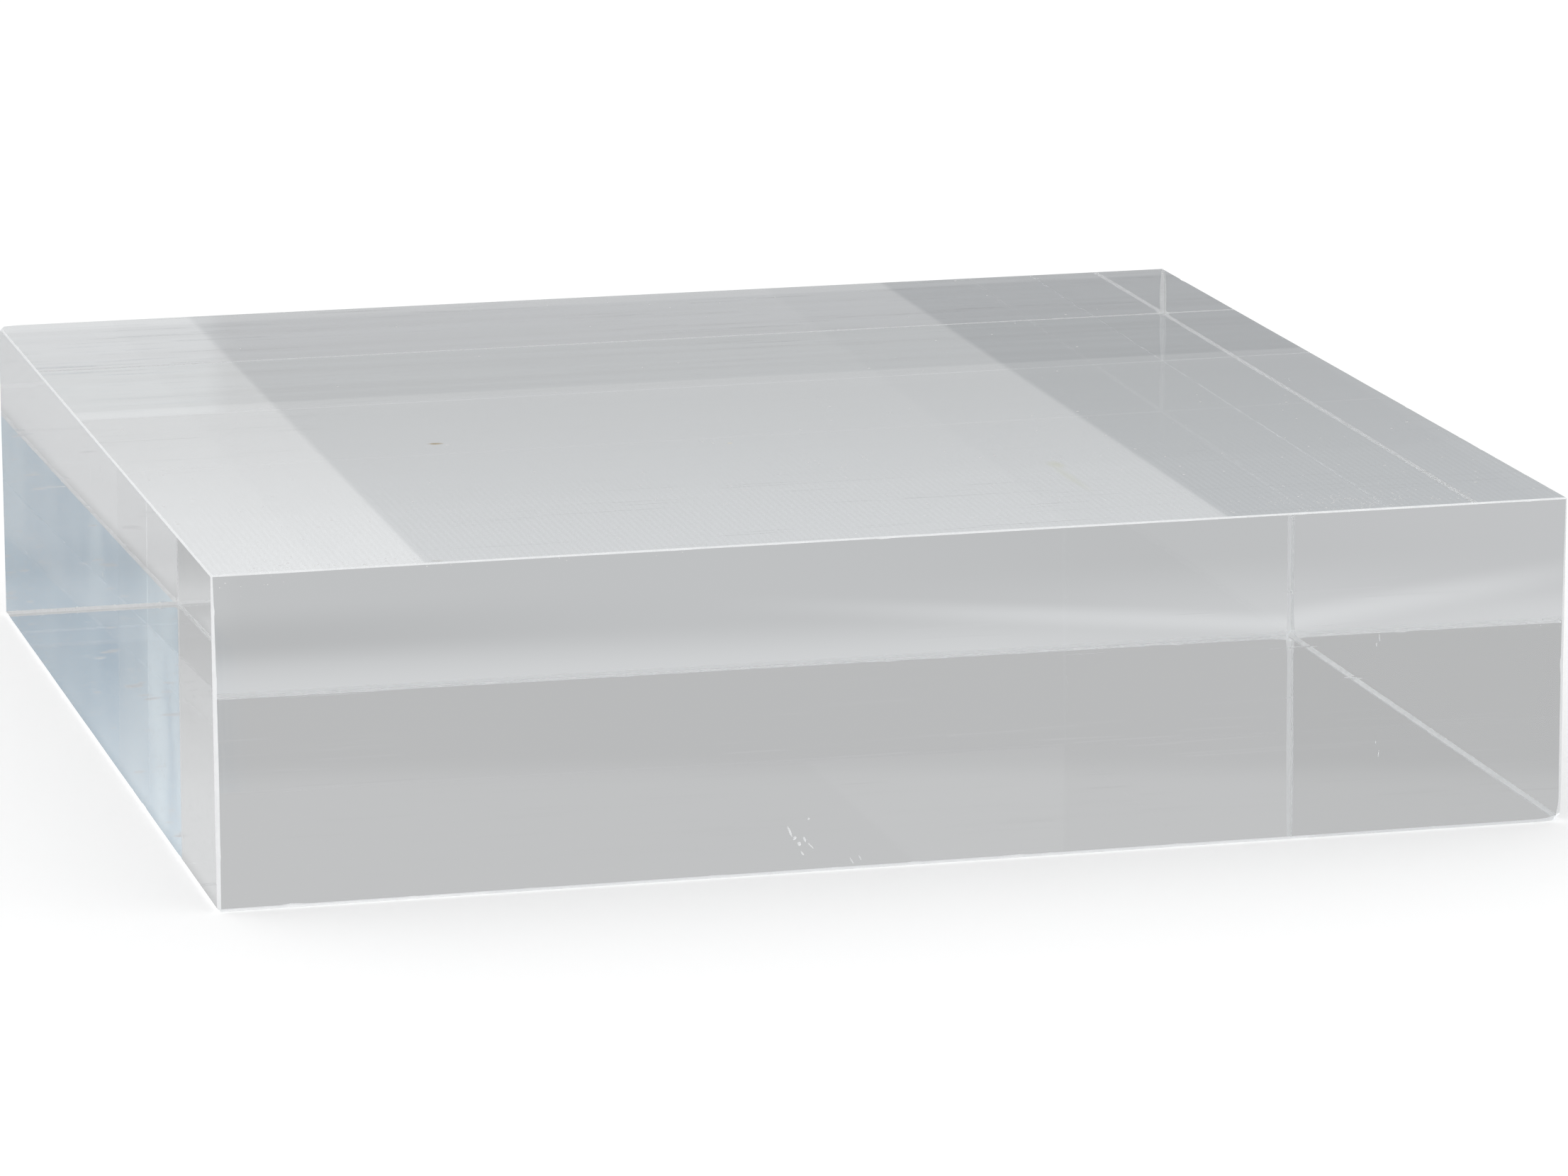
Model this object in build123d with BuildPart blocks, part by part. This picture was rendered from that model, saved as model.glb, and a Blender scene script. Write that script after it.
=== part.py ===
# Clear acrylic display block: one solid slab of cast acrylic, square in plan and about a quarter
# as tall as it is wide. It lies flat and carries whatever is shown on it.
#
# Frame: +Z up, +Y towards the back, origin at the centre of the underside. Millimetres.

from build123d import *
import os

# Driving dimensions
SIDE = 203.2  # width and depth, a nominal 8 in square
THICKNESS = 49.3  # what nominal 2 in cast sheet measures once both faces are polished
EDGE_BREAK = 0.45  # leg of the small bevel scraped along all twelve edges


def check_size(part):
    """Stop if the finished block is not the size that its driving dimensions state."""
    size = part.bounding_box().size
    for measured, stated in ((size.X, SIDE), (size.Y, SIDE), (size.Z, THICKNESS)):
        if abs(measured - stated) > 1e-6:
            raise ValueError(f"the block measures {measured} mm where {stated} mm is stated")


# The block: a square extruded upwards from its underside, with every sharp edge broken
with BuildPart() as acrylic_block:
    with BuildSketch(Plane.XY):
        Rectangle(SIDE, SIDE)
    extrude(amount=THICKNESS)
    chamfer(acrylic_block.edges(), length=EDGE_BREAK)
acrylic_block.part.label = "acrylic_block"

check_size(acrylic_block.part)

os.makedirs("parts", exist_ok=True)
export_step(acrylic_block.part, "parts/acrylic_block.step")
print(f"acrylic_block: {acrylic_block.part.volume / 1e3:.1f} cm3")
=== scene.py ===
import math

import bmesh
import bpy
from mathutils import Matrix, Vector, noise


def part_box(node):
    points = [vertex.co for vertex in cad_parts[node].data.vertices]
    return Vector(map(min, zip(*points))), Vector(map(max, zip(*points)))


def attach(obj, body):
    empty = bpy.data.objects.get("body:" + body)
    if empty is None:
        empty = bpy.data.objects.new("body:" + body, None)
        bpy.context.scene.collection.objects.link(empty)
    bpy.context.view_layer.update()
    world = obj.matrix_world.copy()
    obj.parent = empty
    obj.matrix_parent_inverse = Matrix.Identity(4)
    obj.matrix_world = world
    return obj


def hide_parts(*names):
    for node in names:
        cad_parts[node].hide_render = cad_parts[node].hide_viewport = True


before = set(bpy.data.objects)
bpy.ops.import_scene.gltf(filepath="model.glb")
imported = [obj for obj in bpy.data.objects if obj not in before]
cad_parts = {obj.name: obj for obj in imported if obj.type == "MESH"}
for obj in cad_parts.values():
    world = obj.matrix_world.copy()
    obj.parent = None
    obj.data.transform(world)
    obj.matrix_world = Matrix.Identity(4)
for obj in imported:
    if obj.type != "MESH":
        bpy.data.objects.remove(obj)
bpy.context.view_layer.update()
LOW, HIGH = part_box("acrylic_block")
THICKNESS = HIGH.z - LOW.z
MM = 0.001

# Camera: a long lens, a little above the block and to the left of its front face
CAMERA_PLACE = Vector((-0.27889, -1.13170, 0.27578))
CAMERA_YAW = math.radians(14.214)
CAMERA_PITCH = math.radians(12.377)
CAMERA_ROLL = math.radians(-0.271)
CAMERA_LENS_MM = 173.15
CAMERA_CLIP = (0.05, 60.0)
SENSOR_MM = 36.0

# Block
ACRYLIC_IOR = 1.491
PAINTED_EDGE_GLOW = 0.20  # painted glow, an emission that stands in for light that the block carries to its dull edges, which leaves them paler than the room
EDGE_BREAK = 0.45 * MM  # leg of the bevels on the CAD block
EDGE_STEP = 0.75 * MM  # spacing of the points along each edge
# Width of the bevels, as multiples of EDGE_BREAK. An upright edge also swells between its ends.
TOP_BEVEL = 0.54
BOTTOM_BEVEL = 1.08
UPRIGHT_SWELL = 1.8
# Unevenness of the bevels: its length along the edge, and its strength. Only the deepest dents are kept.
SLOW_WAVER, SLOW_STRENGTH = 17.0 * MM, 0.07
FAST_WAVER, FAST_STRENGTH = 1.9 * MM, 0.02
DENT_LENGTH, DENT_STRENGTH, DENT_THRESHOLD = 3.1 * MM, 1.0, 0.42
# Corners that were buffed rounder than the rest: (x, y, z signs, extra width, reach)
BUFFED_CORNERS = (
    ((-1, 1, 1), 1.5, 2.4 * MM),
    ((1, -1, -1), 1.4, 2.0 * MM),
    ((1, 1, -1), 0.8, 2.0 * MM),
)
# Marks in the polish, as centre and half size in mm, and softness of the rim. A stain also has a colour and
# the share of the light that it lets through. The pale mark beside the brown stain is a painted highlight.
RUBBED_PATCHES = (
    ((69.0, -95.0, 49.3), (15.0, 5.5, 1.0), 0.5),
    ((-96.5, -101.6, 47.4), (5.0, 1.0, 1.3), 0.5),
    ((-60.0, -99.5, 49.3), (34.0, 2.2, 1.0), 0.5),
)
STAINS_AND_HIGHLIGHT = (
    ((-51.3, -16.4, 49.6), (0.95, 0.78, 1.0), 0.65, (0.42, 0.31, 0.14, 1), 0.45),
    # a painted highlight beside the brown stain above
    ((-49.7, -17.85, 49.6), (0.35, 0.30, 1.0), 0.3, (0.92, 0.91, 0.88, 1), 0.2),
    ((-7.6, -28.1, 49.6), (0.40, 0.36, 1.0), 0.3, (0.92, 0.86, 0.66, 1), 0.3),
    ((35.9, -57.5, 49.6), (1.0, 2.2, 1.0), 0.8, (0.88, 0.88, 0.68, 1), 0.95),
    ((35.3, -67.0, 49.6), (0.7, 8.5, 1.0), 0.8, (0.91, 0.92, 0.80, 1), 0.97),
)
NICK_POINTS = 14  # points round the rim of a nick
NICK_RINGS = ((1.0, 0.0), (0.78, 0.55), (0.40, 0.95))  # (share of the size, share of the depth), rim first
FACE_ORDER = Vector((1.0, 7.3, 53.1))  # direction to sort the faces along, for the same order in every run
# Nicks on each side face: place along the floor and above it, direction in degrees, length, width and depth.
# All but the direction are in mm.
NICKS = {
    "-y": (
        ((-17.25, 6.20), 112, 1.7, 0.34, 0.12),
        ((-16.55, 5.25), 60, 0.6, 0.40, 0.14),
        ((-15.85, 4.40), 105, 0.7, 0.44, 0.12),
        ((-15.05, 5.00), 112, 0.9, 0.32, 0.12),
        ((-14.15, 4.00), 132, 1.3, 0.18, 0.05),
        ((-15.45, 3.00), 125, 0.9, 0.24, 0.07),
        ((-14.45, 8.05), 90, 0.35, 0.30, 0.05),
        ((-8.00, 1.35), 120, 1.1, 0.16, 0.04),
        ((-6.75, 1.70), 115, 0.8, 0.14, 0.04),
    ),
    "+x": (
        ((31.0, 9.5), 70, 1.3, 0.26, 0.08),
        ((33.2, 8.1), 84, 0.7, 0.30, 0.08),
    ),
    "+y": (
        ((48.0, 40.2), 15, 1.6, 0.22, 0.06),
    ),
}

# Painted light on the floor, which shows only through the block and in its faces. No lamps stand there: the
# floor is painted as if one lamp stood low on the right and one low behind. Each painted lamp leaves a
# painted shadow strip under the block along the edge on its own side, as wide as its light would travel
# sideways across the thickness. It paints the strip along the opposite edge lit twice.
PAINTED_RIGHT_LAMP_SLANT = 0.80  # sideways travel of the right lamp's light for each unit of thickness
PAINTED_REAR_LAMP_SLANT = 0.73
PAINTED_RIGHT_LAMP = 0.26
PAINTED_REAR_LAMP = 0.12
PAINTED_LAMP_TINT = (1.03, 1.0, 0.975)
PAINTED_LAMP_GAIN = (0.84, 1.03)  # of both lamps, at the back edge of the block and at its front
UNDER_BLOCK = 0.325  # the rest of the painted light
UNDER_BLOCK_TINT = (0.93, 1.0, 1.06)
UNDER_BLOCK_GAIN = (1.0, 1.47)  # at the back edge and at the front
STRIP_SOFTNESS = 0.8 * MM
WEAVE_PITCH = 1.1 * MM  # of the threads of the backdrop, seen through the block
# Painted light on the open floor round the block, as the block shows it
OPEN_FLOOR = 0.545
OPEN_FLOOR_TINT = (0.992, 1.0, 1.010)
LEFT_FLOOR = 0.81  # painted brighter floor beside the left face, near the front
RIGHT_FLOOR = 0.90  # painted brighter floor beside the right face, standing for the right lamp's light that the face throws back down
# Painted streaks of light on the floor behind the block: start and end (x, distance behind), half width, in
# mm, and strength
STREAKS = (
    ((10.0, 50.0), (120.0, 1.0), 7.0, 0.075),
    ((96.0, 12.0), (175.0, 40.0), 7.0, 0.015),
)

# The floor as the camera sees it: pale paper, with a little light of its own in place of a lit studio
FLOOR_REACH = 6.0  # from its middle to each side
FLOOR_GAP = 0.05 * MM  # below the block, so that the two don't share a plane
PAPER = 0.88
PAPER_GLOW = 0.295

# The studio as the block reflects it. A rise is the sine of an elevation, and aside is x in a direction.
LOW_WALL = 0.50  # how bright the walls are below the step
HIGH_WALL = 0.55  # and above it
WALL_STEP = (13.62, 13.88)  # elevations in degrees, with a soft change between them
CEILING_START = (0.27, 0.62)  # rises
CEILING = 0.25  # how much brighter the ceiling is than the walls
LEFT_START = (0.05, -0.12)  # values of aside
LEFT_SHADE = -0.03
# Soft lamps: azimuth, elevation, inner and outer radius in degrees, and strength
SOFT_LAMPS = (
    (-105, 12, 14, 52, 0.42),
    (-55, 48, 8, 40, 0.45),
)
# A blue window behind the camera, with upright streaks. A slanted line bounds the pale area below it.
WINDOW_LEFT = (0.10, 0.12)
WINDOW_RIGHT = (0.170, 0.166)
WINDOW_SLANT = 1.26
WINDOW_PALE_BELOW = (0.0080, 0.0105)
WINDOW_PALE = (1.7, 1.75, 1.75, 1)
STREAK_DARK = (0.22, 0.58, 0.91, 1)
STREAK_LIGHT = (1.14, 1.48, 1.67, 1)
BROAD_STREAKS = 620.0  # streaks to a unit of aside
FINE_STREAKS = 1300.0
FINE_STREAKS_START = (0.1555, 0.1585)

# The one real lamp. It rakes the dull edges of the block.
EDGE_LAMP_SIZE = 0.5
EDGE_LAMP_DISTANCE = 1.6
EDGE_LAMP_POWER = 6.0


def link(obj):
    bpy.context.scene.collection.objects.link(obj)
    return obj


# ------------------------------------------------------------------ camera

def make_camera():
    data = bpy.data.cameras.new("camera")
    data.sensor_width = SENSOR_MM
    data.lens = CAMERA_LENS_MM
    data.clip_start, data.clip_end = CAMERA_CLIP
    camera = link(bpy.data.objects.new("camera", data))
    forward = Vector((
        math.sin(CAMERA_YAW) * math.cos(CAMERA_PITCH),
        math.cos(CAMERA_YAW) * math.cos(CAMERA_PITCH),
        -math.sin(CAMERA_PITCH),
    ))
    level = Vector((math.cos(CAMERA_YAW), -math.sin(CAMERA_YAW), 0.0))
    right = level * math.cos(CAMERA_ROLL) + level.cross(forward) * math.sin(CAMERA_ROLL)
    up = right.cross(forward)
    turn = Matrix((right, up, -forward)).transposed()
    camera.matrix_world = Matrix.Translation(CAMERA_PLACE) @ turn.to_4x4()
    bpy.context.scene.camera = camera


# ------------------------------------------------------------------ block mesh

def split_sharp_edges(bm):
    """Puts points along the twelve sharp edges, so that their bevels can vary in width."""
    for edge in list(bm.edges):
        here = edge.verts[0]
        for pieces_left in range(round(edge.calc_length() / EDGE_STEP), 1, -1):
            new_vert = bmesh.utils.edge_split(edge, here, 1.0 / pieces_left)[1]
            edge = next(e for e in new_vert.link_edges if here not in e.verts)
            here = new_vert


def bevel_width_at(place):
    """The bevel's width at a place on an edge, as a multiple of EDGE_BREAK."""
    slow = noise.noise(place / SLOW_WAVER)
    fast = noise.noise(place / FAST_WAVER + Vector((7.3, 3.1, 1.7)))
    dents = max(0.0, noise.noise(place / DENT_LENGTH + Vector((2.9, 8.4, 5.2))) - DENT_THRESHOLD)
    lower = 1.0 - (place.z - LOW.z) / THICKNESS
    width = TOP_BEVEL + (BOTTOM_BEVEL - TOP_BEVEL) * lower + UPRIGHT_SWELL * lower * (1.0 - lower)
    width += SLOW_STRENGTH * slow
    width += FAST_STRENGTH * fast
    width += DENT_STRENGTH * dents
    for signs, extra, reach in BUFFED_CORNERS:
        corner = Vector([HIGH[i] if signs[i] > 0 else LOW[i] for i in range(3)])
        width += extra * math.exp(-((place - corner).length / reach) ** 2)
    return width


def wear_bevels(bm):
    """Scales how far each bevel point stands in from the sharp edge. The faces stay flat."""
    near = 1.01 * EDGE_BREAK  # just past the bevel's own points
    for vert in bm.verts:
        width = bevel_width_at(vert.co)
        for i in range(3):
            for wall, inwards in ((LOW[i], 1.0), (HIGH[i], -1.0)):
                inset = abs(vert.co[i] - wall)
                if inset < near:
                    vert.co[i] = wall + inwards * inset * width


def nick_frame(side, place):
    """The centre of a nick, the two directions along its face, and the way into the block."""
    axis = "xyz".index(side[1])
    sign = 1 if side[0] == "+" else -1
    across, along = [i for i in range(3) if i != axis]
    centre = Vector((0, 0, 0))
    centre[axis] = (HIGH if sign > 0 else LOW)[axis]
    centre[across] = place[0] * MM
    centre[along] = place[1] * MM
    units = Matrix.Identity(3)
    return centre, units[across], units[along], units[axis] * -sign


def nick_rims(bm, side, place, degrees, length, width, depth):
    """Adds the points of one nick, and returns its rings, rim first, and the point at its bottom."""
    centre, across, along, inwards = nick_frame(side, place)
    turn = math.radians(degrees)
    lengthwise = across * math.cos(turn) + along * math.sin(turn)
    crosswise = along * math.cos(turn) - across * math.sin(turn)
    rings = []
    for scale, sunk in NICK_RINGS:
        ring = []
        for k in range(NICK_POINTS):
            angle = math.tau * k / NICK_POINTS
            bend = noise.noise(Vector((math.cos(angle), math.sin(angle), place[0] + 3 * place[1])))
            reach = scale * (1.0 + 0.45 * bend)
            offset = lengthwise * (math.cos(angle) * length) + crosswise * (math.sin(angle) * width)
            ring.append(bm.verts.new(centre + (offset * reach / 2 + inwards * depth * sunk) * MM))
        rings.append(ring)
    return rings, bm.verts.new(centre + inwards * depth * MM)


def cut_nicks(bm, side, nicks):
    """Refills one flat face round a hole for each nick, and sinks a rough pit into each hole."""
    axis = "xyz".index(side[1])
    sign = 1 if side[0] == "+" else -1
    face = max(bm.faces, key=lambda f: f.normal[axis] * sign * f.calc_area())
    edges = list(face.edges)
    bmesh.ops.delete(bm, geom=[face], context="FACES_ONLY")
    pits = [nick_rims(bm, side, *nick) for nick in nicks]
    for rings, bottom in pits:
        rim = rings[0]
        edges += [bm.edges.new((rim[k - 1], rim[k])) for k in range(NICK_POINTS)]
    filled = bmesh.ops.triangle_fill(bm, use_beauty=True, edges=edges)
    for new in filled["geom"]:
        if isinstance(new, bmesh.types.BMFace):
            new.material_index = 0
    for rings, bottom in pits:
        walls = []
        for outer, inner in zip(rings, rings[1:]):
            for k in range(NICK_POINTS):
                walls.append(bm.faces.new((outer[k - 1], outer[k], inner[k], inner[k - 1])))
        for k in range(NICK_POINTS):
            walls.append(bm.faces.new((rings[-1][k - 1], rings[-1][k], bottom)))
        for wall in walls:
            wall.material_index = 1


def make_block(polished, scraped):
    """The block as one closed skin: six flat polished faces joined by narrow scraped bevels."""
    bm = bmesh.new()
    bmesh.ops.create_cube(bm, size=1.0)
    bmesh.ops.scale(bm, vec=HIGH - LOW, verts=bm.verts)
    bmesh.ops.translate(bm, vec=(LOW + HIGH) / 2, verts=bm.verts)
    split_sharp_edges(bm)
    bmesh.ops.bevel(bm, geom=bm.edges[:], offset=EDGE_BREAK, segments=1, affect="EDGES",
                    clamp_overlap=True)
    wear_bevels(bm)
    least_area = (HIGH.x - LOW.x) * THICKNESS / 2  # less than any flat face, and more than any bevel
    for face in bm.faces:
        face.material_index = 0 if face.calc_area() > least_area else 1
    for side, nicks in NICKS.items():
        cut_nicks(bm, side, nicks)
    bmesh.ops.recalc_face_normals(bm, faces=bm.faces)
    bm.faces.sort(key=lambda face: face.calc_center_median().dot(FACE_ORDER))
    mesh = bpy.data.meshes.new("clear_block")
    bm.to_mesh(mesh)
    bm.free()
    mesh.materials.append(polished)
    mesh.materials.append(scraped)
    return link(bpy.data.objects.new("clear_block", mesh))


# ------------------------------------------------------------------ node helper

class Graph:
    """Adds nodes to one node tree and joins them. A value is a number, a tuple or another node's socket."""

    def __init__(self, tree):
        self.tree = tree
        self.links = tree.links

    def put(self, socket, value):
        if isinstance(value, bpy.types.NodeSocket):
            self.links.new(value, socket)
        else:
            socket.default_value = value

    def add(self, kind, inputs=None, **settings):
        node = self.tree.nodes.new("ShaderNode" + kind)
        for name, value in settings.items():
            setattr(node, name, value)
        for name, value in (inputs or {}).items():
            self.put(node.inputs[name], value)
        return node

    def math(self, operation, *values, clamp=False):
        node = self.add("Math", operation=operation, use_clamp=clamp)
        for socket, value in zip(node.inputs, values):
            self.put(socket, value)
        return node.outputs[0]

    def total(self, *values):
        result = values[0]
        for value in values[1:]:
            result = self.math("ADD", result, value)
        return result

    def times(self, *values):
        result = values[0]
        for value in values[1:]:
            result = self.math("MULTIPLY", result, value)
        return result

    def step(self, value, start, end, low=0.0, high=1.0):
        """Goes smoothly from low to high as value goes from start to end."""
        inputs = {"Value": value, "From Min": start, "From Max": end, "To Min": low, "To Max": high}
        return self.add("MapRange", inputs, interpolation_type="SMOOTHSTEP").outputs[0]

    def blend(self, factor, first, second):
        node = self.add("Mix", data_type="RGBA")
        self.put(node.inputs["Factor"], factor)
        self.put(node.inputs[6], first)
        self.put(node.inputs[7], second)
        return node.outputs[2]

    def scaled(self, vector, factor):
        return self.add("VectorMath", {0: vector, 3: factor}, operation="SCALE").outputs[0]

    def noise(self, place, scale, detail=0.0, roughness=0.5):
        inputs = {"Vector": place, "Scale": scale, "Detail": detail, "Roughness": roughness}
        return self.add("TexNoise", inputs).outputs[0]

    def bump(self, height, shader):
        """Gives a shader a relief, as heights in metres."""
        bump = self.add("Bump", {"Strength": 1.0, "Distance": 1.0, "Height": height})
        self.links.new(bump.outputs[0], shader.inputs["Normal"])


def new_material(name):
    material = bpy.data.materials.new(name)
    material.use_nodes = True
    tree = material.node_tree
    return material, Graph(tree), tree.nodes["Principled BSDF"]


# ------------------------------------------------------------------ block materials

def patch(graph, place, centre, half_size, rim):
    """1 inside an ellipse on a face, falling to 0 across its soft rim."""
    offset = graph.add("VectorMath", {0: place, 1: Vector(centre) * MM}, operation="SUBTRACT").outputs[0]
    reach = graph.add("VectorMath", {0: offset, 1: Vector(half_size) * MM}, operation="DIVIDE").outputs[0]
    length = graph.add("VectorMath", {0: reach}, operation="LENGTH").outputs["Value"]
    return graph.step(length, 1.0 + rim, 1.0 - rim)


def specks(graph, place, spacing, radius, share):
    """Small round specks. The share of the cells that hold one is a number or a socket."""
    cells = graph.add("TexVoronoi", {"Vector": place, "Scale": 1 / spacing})
    pick = graph.add("SeparateColor", {"Color": cells.outputs["Color"]})
    size = graph.step(pick.outputs[1], 0.0, 1.0, 0.6 * radius, 1.3 * radius)
    near = graph.math("LESS_THAN", cells.outputs["Distance"], size)
    return graph.times(near, graph.math("LESS_THAN", pick.outputs[0], share))


def hairlines(graph, place, direction, spacing, threshold):
    """Sparse fine scratches that run along one direction, as a value from 0 to 1."""
    turned = graph.add("Mapping", {"Vector": place, "Rotation": direction, "Scale": (0.02, 1.0, 1.0)})
    lines = graph.noise(turned.outputs[0], 1 / spacing, 1.0)
    return graph.step(lines, threshold, threshold + 0.05)


def fine_scratches(graph, place):
    """Hairlines in three directions, in the areas that are worn."""
    lines = graph.total(
        hairlines(graph, place, (0.1, 0.25, 0.4), 0.8 * MM, 0.71),
        hairlines(graph, place, (0.2, -0.3, 1.3), 0.9 * MM, 0.71),
        hairlines(graph, place, (-0.4, 0.1, 2.5), 0.7 * MM, 0.72),
    )
    worn = graph.step(graph.noise(place, 9.0), 0.42, 0.66)
    return graph.times(lines, worn)


def stuck_dust(graph, place):
    """Dust on the top, most of it near the front, and the finer pale specks of the rubbed patches."""
    axes = graph.add("SeparateXYZ", {"Vector": place})
    on_top = graph.math("GREATER_THAN", axes.outputs[2], HIGH.z - 0.1 * MM)
    settled = graph.step(graph.noise(place, 14.0), 0.40, 0.72, 0.004, 0.030)
    front = graph.step(axes.outputs[1], -10 * MM, -100 * MM, 0.0, 0.12)
    dust = specks(graph, place, 1.3 * MM, 0.14, graph.times(graph.total(settled, front), on_top))
    rubbed = [patch(graph, place, *rub) for rub in RUBBED_PATCHES]
    broken = graph.step(graph.noise(place, 300.0, 1.0), 0.40, 0.60)
    rubbed_share = graph.times(graph.total(*rubbed), broken, 0.9)
    return graph.math("MAXIMUM", dust, specks(graph, place, 0.55 * MM, 0.24, rubbed_share))


def polished_acrylic():
    """Flame-bright faces with faint waves, a little haze, hairline scratches, stuck dust, stains and a
    painted highlight beside one stain.
    """
    material, graph, shader = new_material("polished_acrylic")
    place = graph.add("TexCoord").outputs["Object"]
    scratches = fine_scratches(graph, place)
    dust = stuck_dust(graph, place)

    haze = graph.noise(place, 22.0, 3.0)
    rough = graph.total(
        graph.step(haze, 0.35, 0.75, 0.004, 0.012),
        graph.times(scratches, 0.06),
        graph.times(dust, 0.45),
    )
    colour = graph.blend(haze, (0.966, 0.978, 0.984, 1), (0.978, 0.988, 0.993, 1))
    colour = graph.blend(dust, colour, (0.94, 0.94, 0.92, 1))
    clearness = graph.step(dust, 0.0, 1.0, 1.0, 0.30)
    ragged = graph.add("TexNoise", {"Vector": place, "Scale": 900.0}).outputs["Color"]
    shifted = graph.add("VectorMath", {0: graph.scaled(ragged, 0.6 * MM), 1: place}).outputs[0]
    # Stains, and a pale mark painted beside one as its highlight
    for centre, half_size, rim, mark_colour, mark_clearness in STAINS_AND_HIGHLIGHT:
        mark = patch(graph, shifted, centre, half_size, rim)
        colour = graph.blend(mark, colour, mark_colour)
        opaque = graph.times(mark, 1.0 - mark_clearness)
        clearness = graph.math("MULTIPLY", clearness, graph.math("SUBTRACT", 1.0, opaque))
    graph.put(shader.inputs["Base Color"], colour)
    graph.put(shader.inputs["Roughness"], rough)
    graph.put(shader.inputs["Transmission Weight"], clearness)
    shader.inputs["IOR"].default_value = ACRYLIC_IOR

    waves = graph.noise(place, 26.0, 1.0)
    height = graph.total(graph.times(waves, 0.002 * MM), graph.times(scratches, -0.0015 * MM))
    graph.bump(height, shader)
    return material


def scraped_acrylic():
    """The scraped edge and the floor of the nicks: pale, dull and finely grained, with a faint painted glow.
    """
    material, graph, shader = new_material("scraped_acrylic")
    place = graph.add("TexCoord").outputs["Object"]
    grain = graph.noise(place, 1 / (0.35 * MM), 2.0)
    chatter = graph.noise(place, 1 / (2.4 * MM), 1.0)
    colour = graph.blend(chatter, (0.84, 0.85, 0.86, 1), (0.89, 0.895, 0.90, 1))
    graph.put(shader.inputs["Base Color"], colour)
    graph.put(shader.inputs["Roughness"], graph.step(grain, 0.3, 0.7, 0.62, 0.80))
    graph.put(shader.inputs["Transmission Weight"], graph.step(chatter, 0.3, 0.7, 0.60, 0.54))
    shader.inputs["IOR"].default_value = ACRYLIC_IOR
    # A faint emission: painted glow on the scraped faces
    shader.inputs["Emission Color"].default_value = (0.97, 0.99, 1.0, 1)
    shader.inputs["Emission Strength"].default_value = PAINTED_EDGE_GLOW
    height = graph.total(graph.times(grain, 0.004 * MM), graph.times(chatter, 0.01 * MM))
    graph.bump(height, shader)
    return material


# ------------------------------------------------------------------ stage

def painted_lamp_strips(graph, along, low_side, high_side, slant):
    """Painted light of a lamp beyond the high side on the floor under the block: 0 in its painted shadow
    strip, 1, or, near the low side, 2.
    """
    reach = slant * THICKNESS
    return graph.total(
        graph.step(along, high_side - reach + STRIP_SOFTNESS, high_side - reach - STRIP_SOFTNESS),
        graph.step(along, low_side + reach + STRIP_SOFTNESS, low_side + reach - STRIP_SOFTNESS),
    )


def painted_light_under_block(graph, x, y):
    """Painted light on the floor under the block, in place of the light that reaches it through the block.
    """
    painted_right_lamp = painted_lamp_strips(graph, x, LOW.x, HIGH.x, PAINTED_RIGHT_LAMP_SLANT)
    painted_rear_lamp = painted_lamp_strips(graph, y, LOW.y, HIGH.y, PAINTED_REAR_LAMP_SLANT)
    painted_lamps = graph.total(graph.times(painted_right_lamp, PAINTED_RIGHT_LAMP), graph.times(painted_rear_lamp, PAINTED_REAR_LAMP))
    painted_lamps = graph.times(painted_lamps, graph.step(y, HIGH.y, LOW.y, *PAINTED_LAMP_GAIN))
    position = graph.add("NewGeometry").outputs["Position"]
    stretched = graph.add("Mapping", {"Vector": position, "Scale": (9, 260, 0)}).outputs[0]
    far_end = graph.step(y, HIGH.y - 60 * MM, HIGH.y - 20 * MM)
    ripple = graph.times(far_end, graph.step(graph.noise(stretched, 1.0, 1.0), 0.3, 0.7, -0.08, 0.08))
    threads = graph.math("SINE", graph.times(x, math.tau / WEAVE_PITCH))
    weave = graph.times(threads, graph.step(y, 25 * MM, -40 * MM, 0.0, 0.08))
    rising = graph.total(ripple, weave, graph.step(y, HIGH.y, LOW.y, *UNDER_BLOCK_GAIN))
    room = graph.scaled(Vector(UNDER_BLOCK_TINT) * UNDER_BLOCK, rising)
    return graph.add("VectorMath", {0: room, 1: graph.scaled(PAINTED_LAMP_TINT, painted_lamps)}).outputs[0]


def light_streak(graph, x, behind, start, end, half_width, strength):
    """One soft streak along a line, fading at both its ends."""
    line = (Vector(end) - Vector(start)) * MM
    length = line.length
    along_unit = line / length
    from_x = graph.math("SUBTRACT", x, start[0] * MM)
    from_y = graph.math("SUBTRACT", behind, start[1] * MM)
    along = graph.total(graph.times(from_x, along_unit.x), graph.times(from_y, along_unit.y))
    off = graph.total(graph.times(from_x, -along_unit.y), graph.times(from_y, along_unit.x))
    body = graph.step(graph.math("ABSOLUTE", off), half_width * 1.6 * MM, 0.0)
    ends = graph.times(
        graph.step(along, 0.0, 0.5 * length),
        graph.step(along, 1.1 * length, 0.8 * length),
    )
    return graph.times(body, ends, strength)


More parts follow.
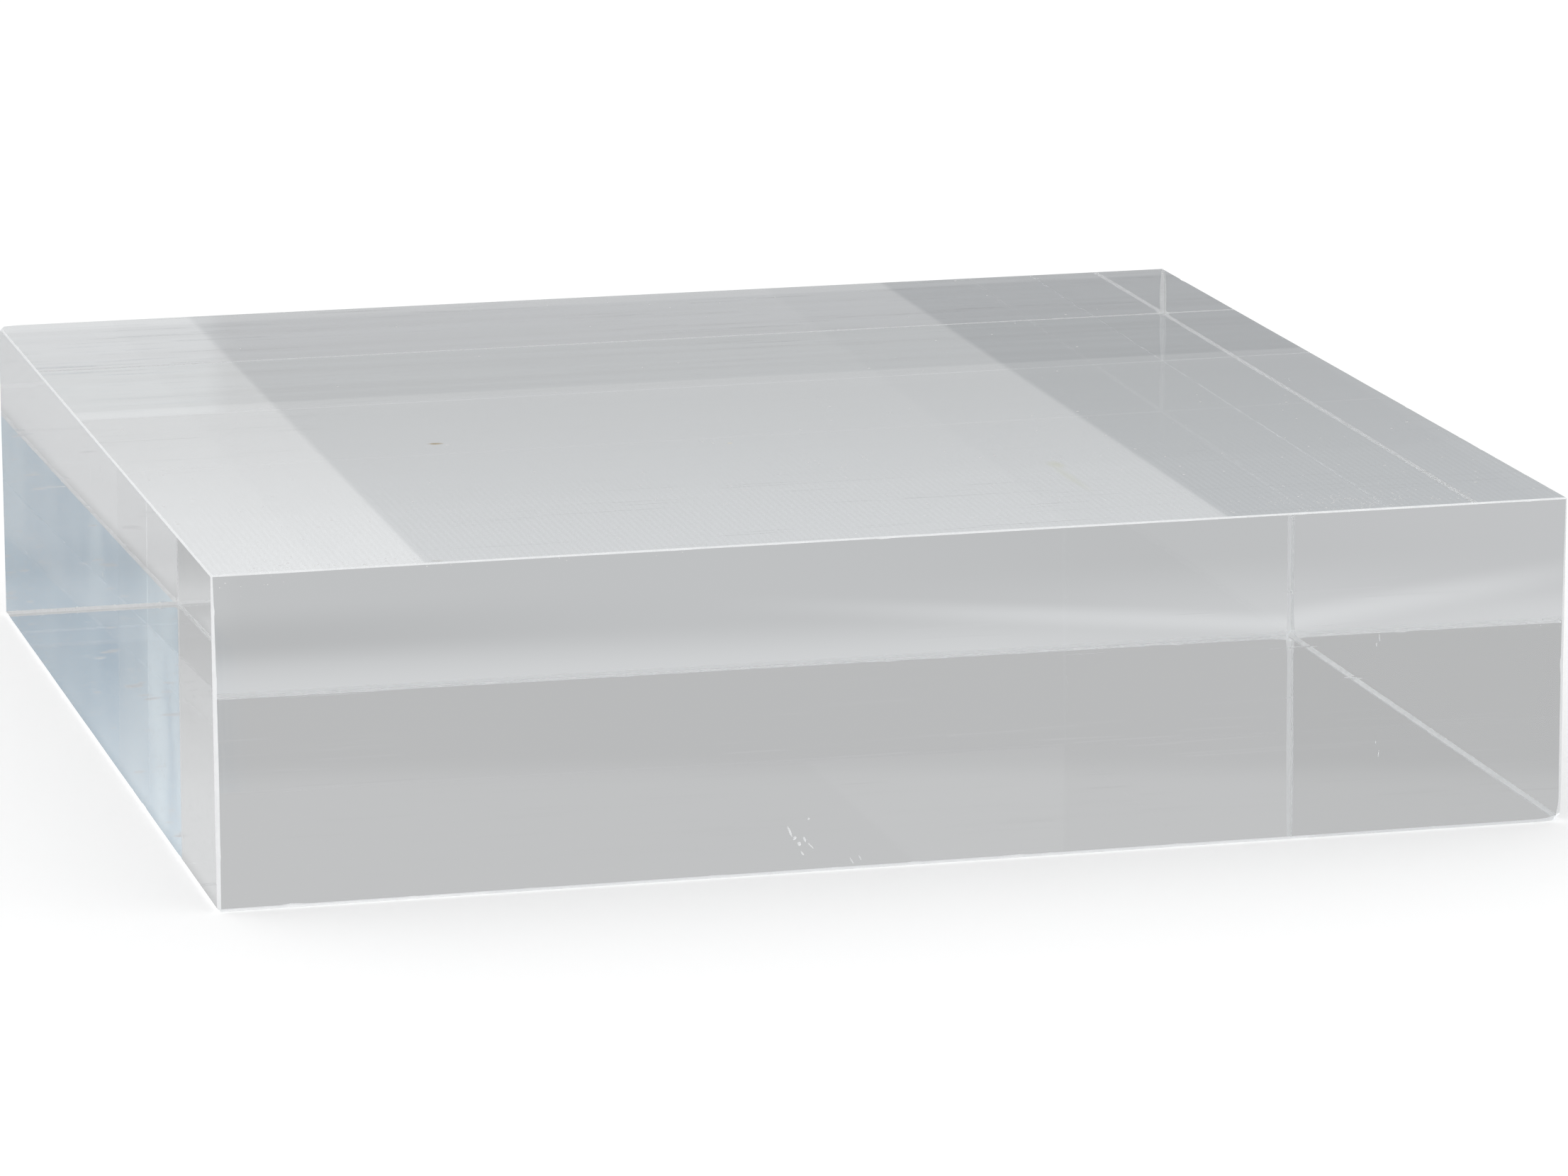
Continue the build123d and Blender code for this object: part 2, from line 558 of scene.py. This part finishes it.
def painted_light_on_open_floor(graph, x, y):
    """Painted light on the floor round the block: painted pools, a darker area and streaks behind it, and
    brighter areas beside it.
    """
    behind = graph.math("SUBTRACT", y, HIGH.y)
    to_right = graph.step(x, 20 * MM, 110 * MM)
    close = graph.times(graph.step(behind, 36 * MM, 0.0), graph.step(to_right, 0.0, 1.0, 0.118, 0.045))
    broad = graph.times(graph.step(behind, 66 * MM, 24 * MM, -0.025, 0.045), to_right)
    painted_dimmer_area = graph.times(
        graph.step(behind, 16 * MM, 38 * MM),
        graph.step(behind, 68 * MM, 42 * MM),
        graph.step(x, 20 * MM, -70 * MM, 0.0, -0.055),
        graph.math("SUBTRACT", 1.0, to_right),
    )
    streaks = [light_streak(graph, x, behind, *streak) for streak in STREAKS]
    rear = graph.times(graph.math("GREATER_THAN", behind, 0.0), graph.total(close, broad, painted_dimmer_area, *streaks))
    left = graph.times(
        graph.step(x, LOW.x, LOW.x - 2 * MM),
        graph.step(y, 90 * MM, -55 * MM, 0.0, LEFT_FLOOR - OPEN_FLOOR),
    )
    right = graph.times(
        graph.step(x, HIGH.x, HIGH.x + 2 * MM),
        graph.step(y, HIGH.y, HIGH.y - 30 * MM, 0.0, RIGHT_FLOOR - OPEN_FLOOR),
    )
    return graph.total(OPEN_FLOOR, rear, left, right)


def make_floor():
    """Pale paper to the camera. The block bends and reflects a floor with painted pools of light and painted
    shadow strips instead.
    """
    mesh = bpy.data.meshes.new("floor")
    bm = bmesh.new()
    bmesh.ops.create_grid(bm, x_segments=1, y_segments=1, size=FLOOR_REACH)
    bm.to_mesh(mesh)
    bm.free()
    floor = link(bpy.data.objects.new("floor", mesh))
    floor.location.z = LOW.z - FLOOR_GAP
    material, graph, shader = new_material("floor")
    place = graph.add("SeparateXYZ", {"Vector": graph.add("NewGeometry").outputs["Position"]})
    x, y = place.outputs[0], place.outputs[1]

    inside = graph.times(
        graph.math("GREATER_THAN", x, LOW.x),
        graph.math("LESS_THAN", x, HIGH.x),
        graph.math("GREATER_THAN", y, LOW.y),
        graph.math("LESS_THAN", y, HIGH.y),
    )
    open_light = graph.scaled(OPEN_FLOOR_TINT, painted_light_on_open_floor(graph, x, y))
    light = graph.blend(inside, open_light, painted_light_under_block(graph, x, y))
    # Painted light and shade on the floor, as an emission
    painted_floor_light = graph.add("Emission", {"Color": light})
    paper = graph.add("BsdfDiffuse", {"Color": (PAPER, PAPER, PAPER, 1)})
    glow = graph.add("Emission", {"Color": (1, 1, 1, 1), "Strength": PAPER_GLOW})
    seen = graph.add("AddShader", {0: paper.outputs[0], 1: glow.outputs[0]})
    direct = graph.add("LightPath").outputs["Is Camera Ray"]
    both = graph.add("MixShader", {0: direct, 1: painted_floor_light.outputs[0], 2: seen.outputs[0]})
    material.node_tree.nodes.remove(shader)
    graph.links.new(both.outputs[0], material.node_tree.nodes["Material Output"].inputs["Surface"])
    material.cycles.emission_sampling = "NONE"
    mesh.materials.append(material)


def sky_lobe(graph, direction, azimuth, elevation, inner, outer, strength):
    """A soft round lamp in the sky. Azimuth 0 is behind the block and 90 is to its right."""
    turn, rise = math.radians(azimuth), math.radians(elevation)
    centre = (math.sin(turn) * math.cos(rise), math.cos(turn) * math.cos(rise), math.sin(rise))
    near = graph.add("VectorMath", {0: direction, 1: centre}, operation="DOT_PRODUCT").outputs["Value"]
    return graph.step(near, math.cos(math.radians(outer)), math.cos(math.radians(inner)), 0.0, strength)


def make_edge_lamp(name, azimuth, elevation, block):
    """A soft square lamp that rakes the scraped edges of the block, and lights nothing else."""
    data = bpy.data.lights.new(name, "AREA")
    data.shape = "SQUARE"
    data.size = EDGE_LAMP_SIZE
    data.energy = EDGE_LAMP_POWER
    lamp = link(bpy.data.objects.new(name, data))
    turn, rise = math.radians(azimuth), math.radians(elevation)
    towards = Vector((math.sin(turn) * math.cos(rise), math.cos(turn) * math.cos(rise), math.sin(rise)))
    middle = (LOW + HIGH) / 2
    lamp.location = middle + towards * EDGE_LAMP_DISTANCE
    lamp.rotation_euler = towards.to_track_quat("Z", "Y").to_euler()
    lamp.visible_camera = False
    lamp.visible_glossy = False
    lamp.visible_transmission = False
    lit = bpy.data.collections.new(name)
    lit.objects.link(block)
    lamp.light_linking.receiver_collection = lit


def room_level(graph, direction, rise, aside):
    """How bright the studio is: walls that are paler above a step, a paler ceiling and soft lamps."""
    step_start, step_end = [math.sin(math.radians(elevation)) for elevation in WALL_STEP]
    return graph.total(
        graph.step(rise, step_start, step_end, LOW_WALL, HIGH_WALL),
        graph.step(rise, *CEILING_START, 0.0, CEILING),
        graph.step(aside, *LEFT_START, 0.0, LEFT_SHADE),
        *[sky_lobe(graph, direction, *lamp) for lamp in SOFT_LAMPS],
    )


def window_colour(graph, direction, rise, aside):
    """Blue with upright streaks, which are finer near the right, above a pale area with a slanted end."""
    streaked = graph.add("Mapping", {"Vector": direction, "Scale": (1.0, 0.0, 0.03)}).outputs[0]
    broad = graph.step(graph.noise(streaked, BROAD_STREAKS, 3.0, 0.65), 0.43, 0.60)
    slats = graph.step(graph.noise(streaked, FINE_STREAKS), 0.46, 0.58)
    slats = graph.times(slats, graph.step(aside, *FINE_STREAKS_START))
    streaks = graph.math("ADD", graph.times(broad, 0.75), slats, clamp=True)
    blue = graph.blend(streaks, STREAK_DARK, STREAK_LIGHT)
    slanted = graph.math("SUBTRACT", rise, graph.times(aside, WINDOW_SLANT))
    return graph.blend(graph.step(slanted, *WINDOW_PALE_BELOW), WINDOW_PALE, blue)


def make_world():
    """Plain white to the camera. The block reflects and bends a grey studio with a window in it instead."""
    world = bpy.data.worlds.new("studio")
    bpy.context.scene.world = world
    world.use_nodes = True
    world.cycles.sampling_method = "NONE"
    graph = Graph(world.node_tree)
    background = world.node_tree.nodes["Background"]
    direction = graph.add("TexCoord").outputs["Generated"]
    aside, ahead, rise = graph.add("SeparateXYZ", {"Vector": direction}).outputs
    window = graph.times(
        graph.step(ahead, -0.80, -0.95),
        graph.step(rise, 0.45, 0.25),
        graph.step(aside, *WINDOW_RIGHT),
        graph.step(aside, *WINDOW_LEFT),
    )
    tint = graph.blend(window, (0.998, 1.0, 1.002, 1), window_colour(graph, direction, rise, aside))
    studio = graph.scaled(tint, room_level(graph, direction, rise, aside))
    direct = graph.add("LightPath").outputs["Is Camera Ray"]
    graph.put(background.inputs["Color"], graph.blend(direct, studio, (1.0, 1.0, 1.0, 1)))


def set_light_paths():
    """Light is reflected many times inside a clear block, and each path cut short would be a dark spot."""
    cycles = bpy.context.scene.cycles
    cycles.max_bounces = 24
    cycles.glossy_bounces = 20
    cycles.transmission_bounces = 20


make_camera()
block = make_block(polished_acrylic(), scraped_acrylic())
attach(block, "root")
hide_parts("acrylic_block")
make_floor()
make_world()
make_edge_lamp("left_lamp", -135, 4, block)
set_light_paths()
bpy.context.scene.view_settings.view_transform = "Standard"
